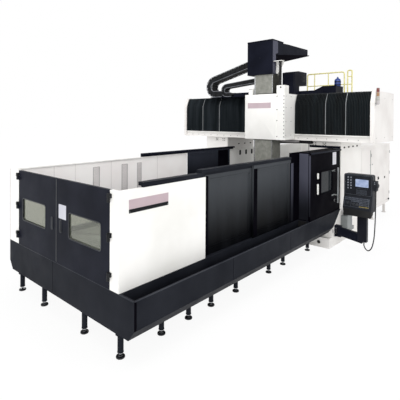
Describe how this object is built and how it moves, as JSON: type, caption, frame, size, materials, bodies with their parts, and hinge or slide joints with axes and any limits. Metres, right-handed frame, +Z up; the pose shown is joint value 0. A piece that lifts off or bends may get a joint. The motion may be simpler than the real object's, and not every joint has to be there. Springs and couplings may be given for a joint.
{
  "type": "vertical machining center",
  "caption": "Double-column vertical machining center: long guarded bed, moving table, cross beam with bellows, saddle and ram, sliding and hinged doors, swivelling pendant, electrical cabinet.",
  "frame": {"origin": "on the floor under the middle of the bed", "axes": "+X along the bed from the loading end to the rear end, +Y from the operator side to the far side, +Z up"},
  "size_m": [10.237, 5.58, 4.62],
  "materials": {
    "white_paint": "satin powder coat",
    "charcoal_paint": "satin powder coat",
    "tray_paint": "semi-matte powder coat",
    "bed_paint": "painted casting",
    "ground_steel": "ground",
    "sheet_steel": "rolled sheet",
    "ram_iron": "painted casting with scraped ways",
    "bellows_fabric": "matte coated fabric",
    "cover_black": "satin powder coat",
    "chain_plastic": "moulded",
    "rail_yellow": "gloss paint",
    "glass": "clear",
    "accumulator_blue": "gloss paint",
    "lamp_lens": "translucent",
    "pump_grey": "satin paint",
    "cable_black": "matte sheath",
    "bright_steel": "ground and polished",
    "pendant_black": "textured"
  },
  "bodies": {
    "machine": {"bed": "bed_paint", "work_table": "ground_steel", "way_cover_front": "sheet_steel", "way_cover_rear": "sheet_steel", "column_near": "white_paint", "column_far": "white_paint", "cross_beam": "white_paint", "beam_cover_near": "white_paint", "beam_cover_far": "white_paint", "bellows_far": "bellows_fabric", "bellows_near": "bellows_fabric", "tray_front": "tray_paint", "tray_rear": "tray_paint", "legs_front_near": "tray_paint", "legs_front_far": "tray_paint", "legs_rear_near": "tray_paint", "legs_rear_far": "tray_paint", "side_panel_near": "white_paint", "door_rail_inner": "charcoal_paint", "door_rail_outer": "charcoal_paint", "bay_panel": "charcoal_paint", "corner_post_near": "white_paint", "corner_post_far": "white_paint", "far_wall_front": "white_paint", "far_rail": "charcoal_paint", "rear_guard_near": "white_paint", "rear_guard_far": "white_paint", "rear_doors": "charcoal_paint", "beam_drive_cover": "cover_black", "accumulator": "accumulator_blue", "guard_rail": "rail_yellow", "signal_lamp": "lamp_lens", "electrical_cabinet": "white_paint", "cabinet_stand": "white_paint", "lubrication_unit": "pump_grey", "pendant_bracket": "cover_black"},
    "end_door_left": {"end_door_left": "charcoal_paint", "end_door_left_pane": "glass"},
    "end_door_right": {"end_door_right": "charcoal_paint", "end_door_right_pane": "glass"},
    "side_door_front": {"side_door_front": "charcoal_paint"},
    "side_door_rear": {"side_door_rear": "charcoal_paint"},
    "operator_door": {"operator_door": "charcoal_paint", "operator_door_pane": "glass"},
    "far_door": {"far_door": "charcoal_paint"},
    "saddle": {"saddle": "white_paint", "chain_tray": "cover_black", "chain_inner": "chain_plastic", "chain_outer": "chain_plastic", "head_cabinet": "cover_black"},
    "ram": {"ram": "ram_iron", "spindle_nose": "bright_steel", "ram_cover": "cover_black"},
    "pendant_arm": {"pendant_arm": "cover_black"},
    "pendant": {"pendant_head": "pendant_black", "pendant_cable": "cable_black"},
    "handwheel": {"handwheel": "pump_grey"}
  },
  "joints": [
    {"name": "end_door_left_swing", "type": "hinge", "parent": "machine", "child": "end_door_left", "pos_m": [-5.122, 0.8675, 1.3], "axis": [0, 0, -1], "range_deg": [0, 109]},
    {"name": "end_door_right_swing", "type": "hinge", "parent": "machine", "child": "end_door_right", "pos_m": [-5.122, -1.5225, 1.3], "axis": [0, 0, 1], "range_deg": [0, 109]},
    {"name": "side_door_front_slide", "type": "slide", "parent": "machine", "child": "side_door_front", "axis": [-1, 0, 0], "range_m": [0, 1.14]},
    {"name": "side_door_rear_slide", "type": "slide", "parent": "machine", "child": "side_door_rear", "axis": [-1, 0, 0], "range_m": [0, 1.2]},
    {"name": "operator_door_slide", "type": "slide", "parent": "machine", "child": "operator_door", "axis": [-1, 0, 0], "range_m": [0, 0.75]},
    {"name": "far_door_slide", "type": "slide", "parent": "machine", "child": "far_door", "axis": [-1, 0, 0], "range_m": [0, 1.38]},
    {"name": "saddle_travel", "type": "slide", "parent": "machine", "child": "saddle", "axis": [0, 1, 0], "range_m": [-0.95, 1.05], "deforming": ["bellows_far", "bellows_near"]},
    {"name": "ram_travel", "type": "slide", "parent": "saddle", "child": "ram", "axis": [0, 0, 1], "range_m": [-0.25, 0.5], "deforming": ["chain_outer", "chain_inner"]},
    {"name": "pendant_arm_swing", "type": "hinge", "parent": "machine", "child": "pendant_arm", "pos_m": [0.43, -2.03, 0.33], "axis": [0, 0, 1], "range_deg": [-15, 45]},
    {"name": "pendant_turn", "type": "hinge", "parent": "pendant_arm", "child": "pendant", "pos_m": [0.2, -2.59, 0.88], "axis": [0, 0, 1], "range_deg": [-25, 25]},
    {"name": "handwheel_turn", "type": "hinge", "parent": "pendant", "child": "handwheel", "pos_m": [0.2, -2.87, 1.43], "axis": [0, -1, 0], "continuous": true}
  ]
}
